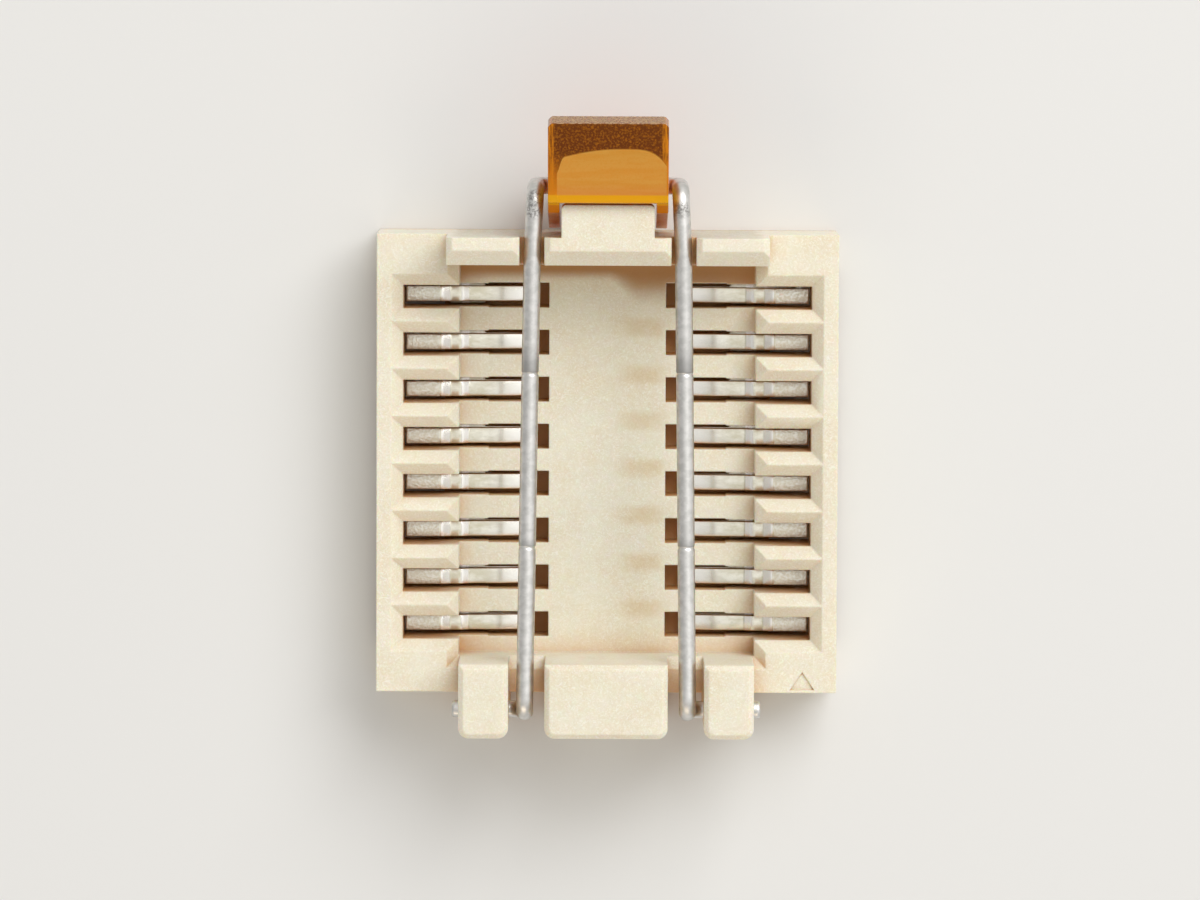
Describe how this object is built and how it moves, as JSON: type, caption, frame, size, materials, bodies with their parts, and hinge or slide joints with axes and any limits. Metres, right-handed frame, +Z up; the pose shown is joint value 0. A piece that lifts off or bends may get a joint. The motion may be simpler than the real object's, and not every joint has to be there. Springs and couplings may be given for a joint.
{
  "type": "surface mount chip socket",
  "caption": "Low square chip socket for a board: cream housing with two comb rows of sprung contacts, closed by a hinged wire bail with an amber snap latch.",
  "frame": {"origin": "middle of the socket on the plane of the board that it is soldered to", "axes": "+X to the right across the two contact rows, +Y from the bail's hinge to the latch, +Z up from the board"},
  "size_m": [0.0124, 0.0166, 0.0056],
  "materials": {
    "housing_plastic": "fine matte moulded cream plastic with a faint mottle",
    "contact_tin": "bright tin plating on stamped strip, frosted on the contact pads",
    "bail_wire": "drawn spring wire with a soft satin shine and faint bending marks",
    "latch_amber": "amber translucent moulded plastic, glossy, with frosted end faces"
  },
  "bodies": {
    "base": {"housing": "housing_plastic", "contact_left_1": "contact_tin", "contact_left_2": "contact_tin", "contact_left_3": "contact_tin", "contact_left_4": "contact_tin", "contact_left_5": "contact_tin", "contact_left_6": "contact_tin", "contact_left_7": "contact_tin", "contact_left_8": "contact_tin", "contact_right_1": "contact_tin", "contact_right_2": "contact_tin", "contact_right_3": "contact_tin", "contact_right_4": "contact_tin", "contact_right_5": "contact_tin", "contact_right_6": "contact_tin", "contact_right_7": "contact_tin", "contact_right_8": "contact_tin"},
    "bail": {"bail": "bail_wire"},
    "latch": {"latch_lever": "latch_amber"}
  },
  "joints": [
    {"name": "bail_hinge", "type": "hinge", "parent": "base", "child": "bail", "pos_m": [0, -0.00653, 0.00325], "axis": [1, 0, 0], "range_deg": [0, 180]},
    {"name": "latch_pivot", "type": "hinge", "parent": "bail", "child": "latch", "pos_m": [0, 0.0074, 0.0015], "axis": [-1, 0, 0], "range_deg": [-10, 70]}
  ]
}
